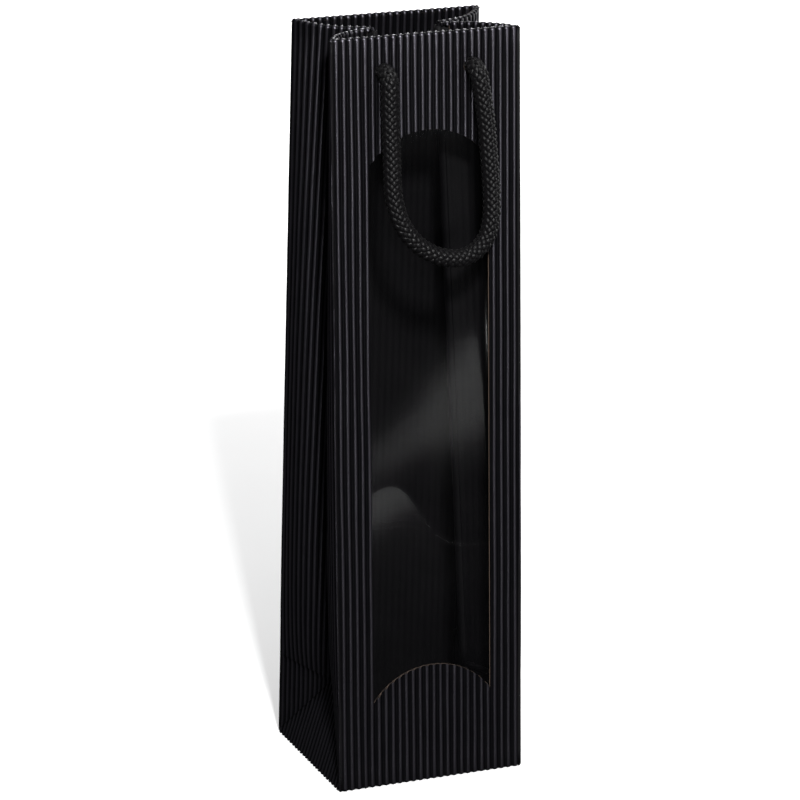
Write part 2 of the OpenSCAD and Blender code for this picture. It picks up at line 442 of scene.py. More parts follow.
def braid_tree(paint):
    """A diamond braid of strands wound both ways round the given curve, over a core."""
    tree, given = tree_with("braid", [
        ("Strands each way", "NodeSocketInt", 6), ("Turn length", "NodeSocketFloat", 0.0195),
        ("Radius", "NodeSocketFloat", 0.00295), ("Weave", "NodeSocketFloat", 0.0006),
        ("Strand width", "NodeSocketFloat", 0.0013), ("Strand thickness", "NodeSocketFloat", 0.00085),
        ("Steps", "NodeSocketInt", 260)])
    line = geo(tree, "ResampleCurve", {"Curve": given["Geometry"], "Count": given["Steps"]})
    for label, kind, field in (
            ("along_dir", "FLOAT_VECTOR", geo(tree, "InputTangent")),
            ("out_dir", "FLOAT_VECTOR", geo(tree, "InputNormal")),
            ("swell", "FLOAT", geo(tree, "InputRadius")),
            ("run", "FLOAT", add(tree, "GeometryNodeSplineParameter").outputs["Length"])):
        line = store(tree, line, label, field, kind)
    each_way = given["Strands each way"]
    copies = add(tree, "GeometryNodeDuplicateElements",
                 {"Geometry": line, "Amount": math_node(tree, "MULTIPLY", each_way, 2.0)}, domain="SPLINE")
    number = copies.outputs["Duplicate Index"]
    hand = math_node(tree, "MULTIPLY_ADD", math_node(tree, "MODULO", number, 2.0), 2.0, -1.0)
    pair = math_node(tree, "FLOOR", math_node(tree, "DIVIDE", number, 2.0))
    place = math_node(tree, "DIVIDE", pair, each_way)
    turns = math_node(tree, "DIVIDE", read(tree, "run"), given["Turn length"])
    angle = math_node(tree, "MULTIPLY", math_node(tree, "MULTIPLY_ADD", turns, hand, place), 2 * math.pi)
    crossing = math_node(tree, "MULTIPLY", math_node(tree, "MULTIPLY", turns, each_way), 2 * math.pi)
    over_under = math_node(tree, "MULTIPLY", math_node(tree, "COSINE", crossing), hand)
    lift = math_node(tree, "MULTIPLY", over_under, given["Weave"])
    swell = read(tree, "swell")
    away = math_node(tree, "MULTIPLY_ADD", swell, given["Radius"], lift)
    normal, tangent = (read(tree, label, "FLOAT_VECTOR") for label in ("out_dir", "along_dir"))
    other = vector_node(tree, "CROSS_PRODUCT", tangent, normal)
    outward = vector_node(tree, "ADD", scaled(tree, normal, math_node(tree, "COSINE", angle)),
                          scaled(tree, other, math_node(tree, "SINE", angle)))
    wound = store(tree, copies.outputs[0], "outward", outward, "FLOAT_VECTOR")
    wound = geo(tree, "SetPosition", {"Geometry": wound, "Offset": scaled(tree, outward, away)})
    wound = geo(tree, "SetCurveNormal", {"Curve": wound, "Normal": read(tree, "outward", "FLOAT_VECTOR")},
                mode="FREE")
    wound = geo(tree, "SetCurveRadius", {"Curve": wound, "Radius": swell})
    profile = geo(tree, "CurvePrimitiveCircle", {"Resolution": 10, "Radius": 1.0})
    spot = add(tree, "ShaderNodeSeparateXYZ", {0: geo(tree, "InputPosition")})
    profile = store(tree, profile, "across_strand", spot.outputs["Y"])
    size = add(tree, "ShaderNodeCombineXYZ",
               {"X": given["Strand thickness"], "Y": given["Strand width"], "Z": 1.0}).outputs[0]
    profile = geo(tree, "Transform", {"Geometry": profile, "Scale": size})
    core_size = math_node(tree, "SUBTRACT", given["Radius"], 0.0004)
    core_profile = geo(tree, "CurvePrimitiveCircle", {"Resolution": 20, "Radius": core_size})
    core = geo(tree, "SetCurveRadius", {"Curve": line, "Radius": swell})
    both = add(tree, "GeometryNodeJoinGeometry")
    for curve, outline in ((wound, profile), (core, core_profile)):
        swept = geo(tree, "CurveToMesh", {"Curve": curve, "Profile Curve": outline, "Fill Caps": True})
        tree.links.new(swept, both.inputs[0])
    smooth = geo(tree, "SetShadeSmooth", {0: both.outputs[0]})
    end_tree(tree, geo(tree, "SetMaterial", {"Geometry": smooth, "Material": paint}))
    return tree


BRAID = braid_tree(YARN)


def smooth_line(points, steps):
    """Points of a smooth line through the given ones, evenly spaced."""
    p = np.asarray(points, float)
    ends = np.vstack([2 * p[0] - p[1], p, 2 * p[-1] - p[-2]])
    fine = []
    for k in range(len(p) - 1):
        a, b, c, d = ends[k:k + 4]
        for t in np.linspace(0, 1, 12, endpoint=False):
            fine.append(0.5 * (2 * b + (c - a) * t + (2 * a - 5 * b + 4 * c - d) * t ** 2
                               + (3 * b - 3 * c + d - a) * t ** 3))
    fine = np.array(fine + [p[-1]])
    run = np.concatenate([[0], np.cumsum(np.linalg.norm(np.diff(fine, axis=0), axis=1))])
    at = np.linspace(0, run[-1], steps)
    return np.stack([np.interp(at, run, fine[:, i]) for i in range(3)], 1), run[-1]


def braided(name, points, swell, **values):
    """A braid along points, wider where swell is above one."""
    data = bpy.data.curves.new(name, "CURVE")
    data.dimensions = "3D"
    spline = data.splines.new("POLY")
    spline.points.add(len(points) - 1)
    for point, at, size in zip(spline.points, points, swell):
        point.co, point.radius = (*at, 1.0), size
    line = object_from(name, data)
    return with_tree(line, BRAID, values)


print("braid tree with", len(BRAID.nodes), "nodes")

# %% [markdown]
# ## Where the cords hang
# Each cord comes out of its left hole, bends down at once, hangs to the height of the window's shoulder and
# goes back up into its right hole. The loop isn't symmetric: the cord has a set from how it was threaded.
# The route is written in the panel frame, in millimetres. The whole cord is baked in place and fixed to
# no body.

# %% Cords
ROUTE = [(-20.7, 1.2, 343), (-20.8, 4, 342.6), (-21, 7, 340.4), (-21.2, 8, 336), (-21.2, 8, 327),
         (-20.9, 8, 316), (-20.6, 8, 302), (-20.2, 8, 290), (-18.9, 8, 282), (-15.8, 8, 273.5),
         (-10, 8, 265.4), (-2.5, 8, 259.4), (5.5, 8, 256.2), (13, 8, 255.4), (20, 8, 257.6),
         (25.4, 8, 263), (28.1, 8, 271), (28.6, 8, 282), (28, 8, 294), (27, 8, 306), (26, 8, 318),
         (24.6, 8, 328), (23.3, 8, 336), (22.9, 7, 340.4), (22.7, 4, 342.6), (22.7, 1.2, 343)]


def make_cord(back):
    """A braided cord on one panel, baked in place; its length is printed."""
    side = ENDS[back]
    flat = np.array(ROUTE) * (MM, -MM, MM)
    points, length = smooth_line(leaned(flat, back), 240)
    cord = braided(side + " cord", points, np.ones(len(points)))
    ends = leaned([[0, -1.9 * MM, HOLE_Z - 1.9 * MM], [0, -5.5 * MM, HOLE_Z - 5.5 * MM]], back)
    finished(cord, side, [side + "_cord"], (side + "_handle", *(Vector(e) for e in ends)))
    print("length in mm", round(length / MM, 1))


for back in (False, True):
    make_cord(back)

# %% [markdown]
# ## The knots behind the hem
# Behind the doubled board each cord end is stopped by a tight knot, which nobody sees but which takes all
# the pull. The braid tree draws it too: the centreline runs straight in through the hole, and its radius
# swells behind the hem and closes at the end.

# %% Knots
HOLE_XS = [WINDOW_X - HOLE_GAP / 2, WINDOW_X + HOLE_GAP / 2]
KNOT_START, KNOT_LENGTH = 3.3 * MM, 8 * MM


def make_knots(back):
    """Both cord ends of one panel with their knots."""
    side = ENDS[back]
    depth = np.concatenate([np.linspace(-1.0, 3.3, 6), np.linspace(3.6, 11.2, 26)]) * MM
    t = np.clip((depth - KNOT_START) / KNOT_LENGTH, 0, 1)
    knot = 0.95 + 0.55 * np.sin(math.pi * np.minimum(t * 1.15, 1)) ** 0.6
    swell = np.where(t > 0, knot - 0.6 * np.clip((t - 0.85) / 0.15, 0, 1), 0.93)
    ends = []
    for k, x in enumerate(HOLE_XS):
        ends.append(braided(f"{side} cord end {k}", leaned(stacked(x, depth, HOLE_Z), back), swell,
                            **{"Turn length": 17 * MM, "Steps": 60}))
    finished(join(side + " cord knots", ends), side, [side + "_cord_knots"])


for back in (False, True):
    make_knots(back)

# %% [markdown]
# ## Floor and light
# The stage is a pale, even floor that curves up behind the bag, so there is no horizon. The key light
# stands to the front left and above: each flute catches it on its left flank. A low strip below it reaches
# the foot of the bag, and the wide softbox on the right is what the window film mirrors. The floor looks
# pale, but throws little light back, as if black flags stood round the bag; else its glare would hide the
# flutes. Two lamps from behind and above light the far edges and the backdrop.

# %% Floor, lights and world
def sweep_floor():
    """A floor that rises into a backdrop in one long curve."""
    made, tree, shader, place = material("pale floor")
    tone = ramp(tree, noise(tree, place, 400 * MM), [(0.3, "#f1f1f1"), (0.7, "#f5f5f5")])
    seen = add(tree, "ShaderNodeLightPath").outputs["Is Camera Ray"]
    dress(tree, shader, mixed(tree, seen, colour("#1c1c1e"), tone), Roughness=0.9, Specular_IOR_Level=0.1)
    near, bend, sweep, top, half_width = -0.5, 1.2, 0.8, 3.5, 3.5
    line = [(near, 0.0), (bend, 0.0)]
    line += [(bend + sweep * math.sin(a), sweep - sweep * math.cos(a))
             for a in np.linspace(0.1, math.pi / 2, 12)]
    line.append((bend + sweep, top))
    turn = Matrix.Rotation(-CAMERA_TURN, 3, "Z")
    points = [turn @ Vector((x, y, z)) for y, z in line for x in (-half_width, half_width)]
    return smooth_object("floor", points, grid_faces(len(line), 2), made)


def area_light(name, at, size, watts, target=(0, 0, 0.2)):
    """A rectangular soft light at a point, turned to a target."""
    data = bpy.data.lights.new(name, "AREA")
    data.shape, (data.size, data.size_y), data.energy = "RECTANGLE", size, watts
    made = object_from(name, data)
    made.location = at
    made.rotation_euler = (Vector(target) - Vector(at)).to_track_quat("-Z", "Y").to_euler()


sweep_floor()
area_light("key", (-0.4, -1.6, 1.4), (0.2, 0.2), 80)
area_light("low strip", (-0.5, -1.6, 0.28), (0.16, 0.5), 9)
area_light("softbox", (0.43, -1.2, 0.36), (1.04, 0.42), 3.3)
area_light("back strip", (0.75, 1.5, 0.45), (0.3, 0.6), 10)
area_light("right strip", (1.6, 0.35, 0.45), (0.3, 0.6), 9)
area_light("overhead", (0.1, 0.3, 2.4), (1.6, 1.6), 22, (0, 0.3, 0))
area_light("backdrop", (0.8, 0.9, 2.2), (1.2, 1.2), 30, (0.5, 2.0, 0.6))
world = bpy.data.worlds.new("studio")
world.use_nodes = True
tree = world.node_tree
sky = tree.nodes["Background"]
seen = add(tree, "ShaderNodeLightPath").outputs["Is Camera Ray"]
tree.links.new(mixed(tree, seen, colour("#c9cbd0"), colour("#f6f6f6")), sky.inputs["Color"])
tree.links.new(ranged(tree, seen, 0.0, 1.0, 0.035, 1.0), sky.inputs["Strength"])
bpy.context.scene.world = world
bpy.context.scene.view_settings.view_transform = "Standard"

# %% [markdown]
# ## How a fluted sheet is made
# Open-flute board is a wave glued on a flat liner. A wave only changes across the flutes, so a sheet can be
# drawn as narrow column strips: eight to a flute, with few points along them. Each column knows where the
# board starts and ends, so a window or a hole is cut by splitting its columns. Neighbouring columns share
# their points, so the sheet has no cracks. A geometry tree then presses the flutes into it.

# %% Column strips with cut-outs
CORNER = 2 * MM
FLUTES_EACH_SIDE, COLUMNS_PER_FLUTE = 13, 8
PITCH = (BAG_W / 2 - CORNER) / FLUTES_EACH_SIDE
LEVEL = 8 * MM
ABOVE_ALL = 9.0
NEAR_EDGE, NEAR_COLUMN, NEAR_LEVEL, TINY = 0.25 * MM, 0.08 * MM, 0.2 * MM, 1e-9


def zipper(left, right):
    """Faces between two rising rows of (height, point number)."""
    faces, i, j = [], 0, 0
    while i < len(left) - 1 or j < len(right) - 1:
        next_left = left[i + 1][0] if i < len(left) - 1 else ABOVE_ALL
        next_right = right[j + 1][0] if j < len(right) - 1 else ABOVE_ALL
        if abs(next_left - next_right) < 1e-6:
            faces.append((left[i][1], right[j][1], right[j + 1][1], left[i + 1][1]))
            i, j = i + 1, j + 1
        elif next_left < next_right:
            faces.append((left[i][1], right[j][1], left[i + 1][1]))
            i += 1
        else:
            faces.append((left[i][1], right[j][1], right[j + 1][1]))
            j += 1
    return faces


def strips(columns, levels, spans):
    """Points (across, along) and faces between column lines. spans(u) lists the pairs of edge functions
    (low, high) of the board near u."""
    gaps, ends = [], [set() for _ in columns]
    for i in range(len(columns) - 1):
        gap = []
        for low, high in spans((columns[i] + columns[i + 1]) / 2):
            sides = [(round(low(columns[k]), 7), round(high(columns[k]), 7)) for k in (i, i + 1)]
            gap.append(sides)
            ends[i].update(sides[0])
            ends[i + 1].update(sides[1])
        gaps.append(gap)
    points, rows = [], []
    for u, edge in zip(columns, ends):
        inner = [h for h in levels if all(abs(h - e) > NEAR_EDGE for e in edge)]
        row = sorted(edge | set(inner))
        rows.append([(h, len(points) + k) for k, h in enumerate(row)])
        points += [(u, h) for h in row]
    faces = []
    for i, gap in enumerate(gaps):
        for sides in gap:
            cut = [[p for p in rows[i + k] if sides[k][0] - TINY <= p[0] <= sides[k][1] + TINY]
                   for k in (0, 1)]
            faces += zipper(*cut)
    return np.array(points), faces


def column_lines(start, end, extra=()):
    """Column positions from start to end, eight to a flute, plus the extra ones."""
    count = max(2, round((end - start) / PITCH * COLUMNS_PER_FLUTE))
    lines = [start + (end - start) * k / count for k in range(count + 1)]
    lines = [u for u in lines if all(abs(u - e) > NEAR_COLUMN for e in extra)]
    return sorted(lines + [e for e in extra if start - TINY < e < end + TINY])


def level_lines(start, end, extra=()):
    """Heights from start to end, one every few millimetres, plus the extra ones."""
    count = max(1, round((end - start) / LEVEL))
    lines = [start + (end - start) * k / count for k in range(count + 1)]
    return sorted([h for h in lines if all(abs(h - e) > NEAR_LEVEL for e in extra)] + list(extra))


print("pitch of the flutes in mm", round(PITCH / MM, 3))

# %% [markdown]
# ## The tree that presses the flutes
# Each point carries three values: across, its place across the flutes; along, its place along them; and
# inward, the direction from the crests to the liner. The tree moves the point inward by a wave. A little
# slow noise keeps the flutes from looking machined, as the crests of real board wander and dent. The same
# tree with a low wave makes the liner, where the glue lines show as faint ribs.

# %% Geometry tree for open flutes
def flute_tree():
    """Moves points inward by a wave across the sheet and stores how near the crest each one is."""
    tree, given = tree_with("open flute", [
        ("Pitch", "NodeSocketFloat", 0.0035), ("Phase", "NodeSocketFloat", 0.5),
        ("Height", "NodeSocketFloat", 0.00115), ("Lie", "NodeSocketFloat", 0.0),
        ("Wander", "NodeSocketFloat", 0.07), ("Dents", "NodeSocketFloat", 0.22),
        ("Seed", "NodeSocketFloat", 3.0)])
    across, along = read(tree, "across"), read(tree, "along")
    sheet = add(tree, "ShaderNodeCombineXYZ", {"X": across, "Y": along, "Z": given["Seed"]}).outputs[0]

    def sheet_noise(frequency, detail):
        place = vector_node(tree, "MULTIPLY", sheet, frequency)
        return add(tree, "ShaderNodeTexNoise",
                   {"Vector": place, "Scale": 1.0, "Detail": detail}).outputs["Fac"]

    drift = ranged(tree, sheet_noise((120, 16, 1), 2.0), 0.25, 0.75, -1.0, 1.0, clamp=False)
    turns = math_node(tree, "DIVIDE", across, given["Pitch"])
    turns = math_node(tree, "ADD", turns, math_node(tree, "MULTIPLY", drift, given["Wander"]))
    turns = math_node(tree, "SUBTRACT", turns, given["Phase"])
    cosine = math_node(tree, "COSINE", math_node(tree, "MULTIPLY", turns, 2 * math.pi))
    wave = ranged(tree, cosine, -1.0, 1.0, 1.0, 0.0)
    dent = ranged(tree, sheet_noise((290, 70, 1), 3.0), 0.45, 0.8, 0.0, 1.0)
    deep = math_node(tree, "MAXIMUM", wave, math_node(tree, "MULTIPLY", dent, given["Dents"]))
    deep = math_node(tree, "MULTIPLY_ADD", deep, given["Height"], given["Lie"])
    offset = scaled(tree, read(tree, "inward", "FLOAT_VECTOR"), deep)
    moved = geo(tree, "SetPosition", {"Geometry": given["Geometry"], "Offset": offset})
    end_tree(tree, store(tree, moved, "crest", math_node(tree, "SUBTRACT", 1.0, wave)))
    return tree


FLUTES = flute_tree()
print("tree", FLUTES.name, "with", len(FLUTES.nodes), "nodes")

# %% [markdown]
# ## From strips to a board
# One function lays the strips in place, presses the flutes, gives the paper its thickness and glues the
# liner behind it. The paper's rims take the brown cut colour only where the board is really cut, such as
# along the window; at a crease the paper just goes on.

# %% Board builder
PAPER, RIDGE_PAPER = 0.3 * MM, 0.25 * MM
FLUTE_H, LINER_AT, LINER_RIB = 1.12 * MM, 1.2 * MM, 0.14 * MM
SHARP_FROM = math.radians(52)
CRUSHED, CRUSH_WIDTH = 0.65, 1.1 * MM
SHEET_PHASE = 0.5 + CORNER / PITCH


def placed_mesh(name, grid, faces, place):
    """A mesh of the strips at the places given by place(u, h), with the tree's three values on its points."""
    points, inward = place(grid[:, 0], grid[:, 1])
    corner = np.array([points[f[0]] for f in faces])
    side_a = np.array([points[f[1]] for f in faces]) - corner
    side_b = np.array([points[f[-1]] for f in faces]) - corner
    facing = np.einsum("ij,ij->i", np.cross(side_a, side_b), np.array([inward[f[0]] for f in faces])).sum()
    if facing > 0:
        faces = [tuple(reversed(f)) for f in faces]
    mesh = bpy.data.meshes.new(name)
    mesh.from_pydata(points.tolist(), [], faces)
    for label, kind, values in (("across", "FLOAT", grid[:, 0]), ("along", "FLOAT", grid[:, 1]),
                                ("inward", "FLOAT_VECTOR", inward)):
        key = "vector" if kind == "FLOAT_VECTOR" else "value"
        mesh.attributes.new(label, kind, "POINT").data.foreach_set(key, np.ravel(values).astype(np.float32))
    return mesh


def layer(name, mesh, paper, rim, **values):
    """One paper of the board: the tree's wave, then its thickness, with the rims in their own material."""
    made = object_from(name, mesh.copy())
    made.data.materials.append(paper)
    made.data.materials.append(rim)
    made = with_tree(made, FLUTES, {"Pitch": PITCH, **values})
    thick = made.modifiers.new("thickness", "SOLIDIFY")
    thick.thickness, thick.offset = PAPER, -1
    thick.material_offset_rim = 1
    made = settled(made)
    made.data.polygons.foreach_set("use_smooth", np.ones(len(made.data.polygons), bool))
    made.data.set_sharp_from_angle(angle=SHARP_FROM)
    return made


def board(name, columns, levels, spans, place, phase=0.5, cut_at=None, seed=3.0):
    """A piece of open-flute board: the fluted paper outside and the liner 1.2 mm behind the crests.
    cut_at(points) says which rim faces are really cut."""
    grid, faces = strips(columns, levels, spans)
    mesh = placed_mesh(name, grid, faces, place)
    papers = [layer(name + " flutes", mesh, FLUTED, CUT, Phase=phase, Height=FLUTE_H, Lie=0.0, Dents=0.22,
                    Seed=seed),
              layer(name + " liner", mesh, LINER, CUT, Phase=phase, Height=LINER_RIB, Lie=LINER_AT,
                    Dents=0.0, Wander=0.07, Seed=seed)]
    for part in papers:
        rims = [f for f in part.data.polygons if f.material_index == 1]
        centres = np.array([f.center for f in rims]).reshape(-1, 3)
        keep = cut_at(centres) if cut_at is not None and len(rims) else np.zeros(len(rims), bool)
        for face, cut in zip(rims, keep):
            face.material_index = 1 if cut else 0
            face.use_smooth = False
    bpy.data.meshes.remove(mesh)
    return join(name, papers)


def whole(low, high):
    """Spans of a plain sheet: one strip from low to high everywhere."""
    return lambda u: [(lambda v: low, lambda v: high)]


def spine(line, inward, radius=1.3 * MM, back_off=0.9 * MM):
    """The rounded inner ridge of a crease: half a tube of liner paper along it, open to the outside."""
    line, inward = np.asarray(line, float), np.asarray(inward, float)
    inward = inward / np.linalg.norm(inward, axis=1, keepdims=True)
    along = np.gradient(line, axis=0)
    along /= np.linalg.norm(along, axis=1, keepdims=True)
    across = np.cross(along, inward)
    angles = np.radians(np.linspace(-90, 90, 9))
    rings = [line + back_off * inward + radius * (math.cos(a) * inward + math.sin(a) * across)
             for a in angles]
    points = np.stack(rings, 1).reshape(-1, 3)
    made = smooth_object("ridge", points.tolist(), grid_faces(len(line), len(angles)), LINER)
    thick = made.modifiers.new("thickness", "SOLIDIFY")
    thick.thickness, thick.offset = RIDGE_PAPER, 0
    return settled(made)


def mirrored(points, normals, right_side):
    """The points and normals of the left side as they are, or mirrored to the right side."""
    if right_side:
        points[:, 0] *= -1
        normals[:, 0] *= -1
    return points, normals


print("board builder ready")

# %% [markdown]
# ## Folds at the corners, the top and the bottom
# A board can't turn a sharp corner: its outer paper goes round on a small radius. The panel carries the
# upright corner, where one crest stands proud, and it rolls over the top into the hem and under at the
# bottom. The three rolls are worked out together, so that a point only needs its place across and along.

# %% Front panel surface
TOP_R, LOW_R = 1.7 * MM, 1.6 * MM
TOP_START = PANEL_H - TOP_R
TOP_END = TOP_START + math.pi * TOP_R
LOW_END = LOW_R - LOW_R * math.pi / 2
FOOT_FOLD = HALF_SIDE * math.sin(FOOT_TILT)


def fold_in(h):
    """How far the side's middle crease is folded in at height h of the panel frame."""
    share = np.clip((h - HALF_SIDE) / (PANEL_H - HALF_SIDE), 0, 1)
    return FOOT_FOLD + (SIDE_FOLD - FOOT_FOLD) * share


def side_shape(h):
    """The side half's angle, chord and bow at height h."""
    h = np.clip(h, HALF_SIDE, PANEL_H)
    half_depth = (HALF_SIDE - h * math.sin(LEAN)) / math.cos(LEAN)
    chord = np.minimum(41.99 * MM, np.hypot(fold_in(h), half_depth))
    bow = np.sqrt(3 * chord * (HALF_SIDE - chord) / 8)
    return np.arctan2(fold_in(h), half_depth), chord, bow


def rolled(h):
    """Depth, height and the direction weights (inward, up) of a point at board length h. The weights are
    shorter at the rolls, where folding has crushed the flutes."""
    over = np.clip((h - TOP_START) / TOP_R, 0, math.pi)
    under = np.clip((LOW_R - h) / LOW_R, 0, math.pi / 2)
    depth = TOP_R * (1 - np.cos(over)) + LOW_R * (1 - np.cos(under))
    height = np.where(h > TOP_START, TOP_START + TOP_R * np.sin(over), np.where(
        h < LOW_R, LOW_R - LOW_R * np.sin(under), h))
    height = np.where(h > TOP_END, TOP_START - (h - TOP_END), height)
    inward = np.cos(over) * np.cos(under)
    upward = np.where(h > TOP_START, -np.sin(over), np.sin(under))
    crushed = 1 - 0.6 * np.exp(-((h - TOP_START - 1.6 * MM) / (2.4 * MM)) ** 4)
    crushed = crushed - 0.5 * np.exp(-((h - LOW_R / 2) / (1.6 * MM)) ** 4)
    return depth, height, inward * crushed, upward * crushed


def panel_surface(back=False):
    """place(u, h) of a panel: flat, round the corner at both ends, and rolled at the top and bottom."""
    def place(u, h):
        depth, height, inward, upward = rolled(h)
        angle, chord, bow = side_shape(np.clip(height, HALF_SIDE, PANEL_H))
        start = angle - np.arctan(4 * bow / chord)
        turn = math.pi / 2 + np.where(height < HALF_SIDE, FOOT_TILT, start)
        radius = CORNER / np.tan(turn / 2)
        flat = BAG_W / 2 - CORNER
        phi = np.clip((np.abs(u) - flat) / PITCH, 0, 1) * turn
        side = np.sign(u)
        inside = np.where(phi > 0, np.minimum(depth, radius * 0.9), depth)
        x = side * (np.minimum(np.abs(u), flat) + (radius - inside) * np.sin(phi))
        y = radius - (radius - inside) * np.cos(phi)
        points = leaned(stacked(x, np.where(phi > 0, y, depth), height), back)
        normal = stacked(-side * np.sin(phi) * inward, np.cos(phi) * inward, upward)
        return points, turned(normal, back)
    return place


ROLL_LEVELS = [TOP_START + TOP_R * math.radians(a) for a in range(0, 181, 15)]
LOW_LEVELS = [LOW_R - LOW_R * math.radians(a) for a in range(0, 91, 18)]
print("board runs from", round(LOW_END / MM, 2), "to", round(TOP_END / MM, 2), "mm along the panel")

# %% [markdown]
# ## The front panel
# The panel is 28 flutes wide. The window has straight sides and two arcs that both bulge upwards, which
# follows the shoulder of a bottle. Two punched holes take the cord. The spans below say, for each column,
# where board is left between these cut-outs.

# %% Window and holes
def window_edge(z):
    """Edge function of one window arc, whose ends are at height z."""
    def edge(u):
        across = min(abs(u - WINDOW_X), WINDOW_W / 2)
        return z + WINDOW_RISE - WINDOW_R + math.sqrt(WINDOW_R ** 2 - across ** 2)
    return edge


def hole_edge(x, z, sign):
    """Edge function of the lower (-1) or upper (+1) half of a round hole."""
    return lambda u: z + sign * math.sqrt(max(0.0, HOLE_R ** 2 - (u - x) ** 2))


def panel_spans(window, low, high, hole_z=HOLE_Z):
    """Spans of a panel between low and high with its holes, and its window if it has one."""
    def spans(u):
        edges = [lambda v: low]
        if window and abs(u - WINDOW_X) < WINDOW_W / 2:
            edges += [window_edge(WINDOW_LOW), window_edge(WINDOW_HIGH)]
        for x in HOLE_XS:
            if abs(u - x) < HOLE_R:
                edges += [hole_edge(x, hole_z, -1), hole_edge(x, hole_z, 1)]
        edges.append(lambda v: high)
        return list(zip(edges[::2], edges[1::2]))
    return spans


hole_lines = [x + HOLE_R * math.cos(math.radians(a)) for x in HOLE_XS for a in (0, 12, 25, 155, 168, 180)]
window_lines = [WINDOW_X - WINDOW_W / 2, WINDOW_X + WINDOW_W / 2]
panel_end = BAG_W / 2 - CORNER + PITCH


def cut_places(back, window):
    """Which rim faces belong to the window or a hole, rather than to a crease."""
    def cut(points):
        centre = leaned([[x, 0, HOLE_Z] for x in HOLE_XS], back)
        near = np.zeros(len(points), bool)
        for c in centre:
            near |= np.hypot(points[:, 0] - c[0], points[:, 2] - c[2]) < HOLE_R + 1 * MM
        if window:
            inside = (np.abs(points[:, 0] - WINDOW_X) < WINDOW_W / 2 + 1 * MM)
            near |= inside & (points[:, 2] > 30 * MM) & (points[:, 2] < 330 * MM)
        return near
    return cut


def cut_all(points):
    """Every rim is a cut edge."""
    return np.ones(len(points), bool)


def make_panel(back):
    """One wide panel with its corners and its rolls; only the front one has the window."""
    end, window = ENDS[back], not back
    cut_lines = hole_lines + (window_lines if window else [])
    made = board(end + " panel", column_lines(-panel_end, panel_end, cut_lines),
                 level_lines(LOW_R, TOP_START, [HOLE_Z]) + ROLL_LEVELS[1:] + LOW_LEVELS[1:],
                 panel_spans(window, LOW_END, TOP_END), panel_surface(back),
                 cut_at=cut_places(back, window), seed=3.0 if window else 8.0)
    heights = np.linspace(LOW_R, TOP_START, 60)
    ends = [np.full(60, side * (panel_end - 0.05 * MM)) for side in (-1, 1)]
    ridges = [spine(*panel_surface(back)(u, heights), 1.4 * MM, 0.8 * MM) for u in ends]
    finished(join(made.name, [made] + ridges), end, [end + "_panel"])


for back in (False, True):
    make_panel(back)

# %% [markdown]
# ## The hems
# The top of the sheet is folded over to the inside, which doubles the board where the cord pulls on it.
# A hem is the panel's own surface carried on past the roll, so its flutes face into the bag.

# %% Front and back hems
HEM_END = TOP_END + TOP_START - (PANEL_H - HEM_H)
HEM_HOLE = TOP_END + TOP_START - HOLE_Z


def make_hem(back):
    """The panel's inner hem, cut short of the corners so that it can fold over."""
    end, half = ENDS[back], 12.5 * PITCH
    made = board(end + " hem", column_lines(-half, half, hole_lines),
                 level_lines(TOP_END, HEM_END, [HEM_HOLE]),
                 panel_spans(False, TOP_END, HEM_END, HEM_HOLE), panel_surface(back),
                 cut_at=cut_all, seed=5.0)
    finished(made, end, [end + "_hem"])


for back in (False, True):
    make_hem(back)

# %% [markdown]
# ## The sides
# A side is folded in along its middle, and each half bows outwards, because its board is longer than the
# straight line between its two creases. The half turns about the corner by less and less towards the
# bottom, where the block bottom holds it. Each half is baked in place and fixed to no body.

# %% Side halves
CREASE = 0.12 * MM


def crease_crush(away):
    """How much of the flutes' height is left at a distance from a crease."""
    return 1 - CRUSHED * np.exp(-(away / CRUSH_WIDTH) ** 2)


def side_surface(right_side, back):
    """place(u, h) of a side half, with u measured from the corner, and its roll at the top."""
    def place(u, h):
        depth, height, inward, upward = rolled(h)
        level = np.clip(height, HALF_SIDE, PANEL_H)
        angle, chord, bow = side_shape(level)
        steep = (4 * bow / chord) ** 2
        share = u / HALF_SIDE
        q = share.copy()
        for _ in range(4):
            length = (q + steep / 12 * (1 - (1 - 2 * q) ** 3)) / (1 + steep / 6)
            q += (share - length) / (1 + steep / 2 * (1 - 2 * q) ** 2) * (1 + steep / 6)
        out = 4 * bow * q * (1 - q)
        b = angle - np.arctan(4 * bow * (1 - 2 * q) / chord)
        x = -BAG_W / 2 + chord * q * np.sin(angle) - out * np.cos(angle) + depth * np.cos(b)
        y = chord * q * np.cos(angle) + out * np.sin(angle) - depth * np.sin(b)
        points = leaned(stacked(x, y, height), back)
        normal = turned(stacked(np.cos(b) * inward, -np.sin(b) * inward, upward), back)
        normal = normal * crease_crush(h - HALF_SIDE)[:, None]
        return mirrored(points, normal, right_side)
    return place


def corner_line(right_side, back):
    """Two points on the corner edge, one below the bottom and one at the top."""
    x = BAG_W / 2 * (1 if right_side else -1)
    return tuple(Vector(p) for p in leaned([[x, 0, -137 * MM], [x, 0, PANEL_H]], back))


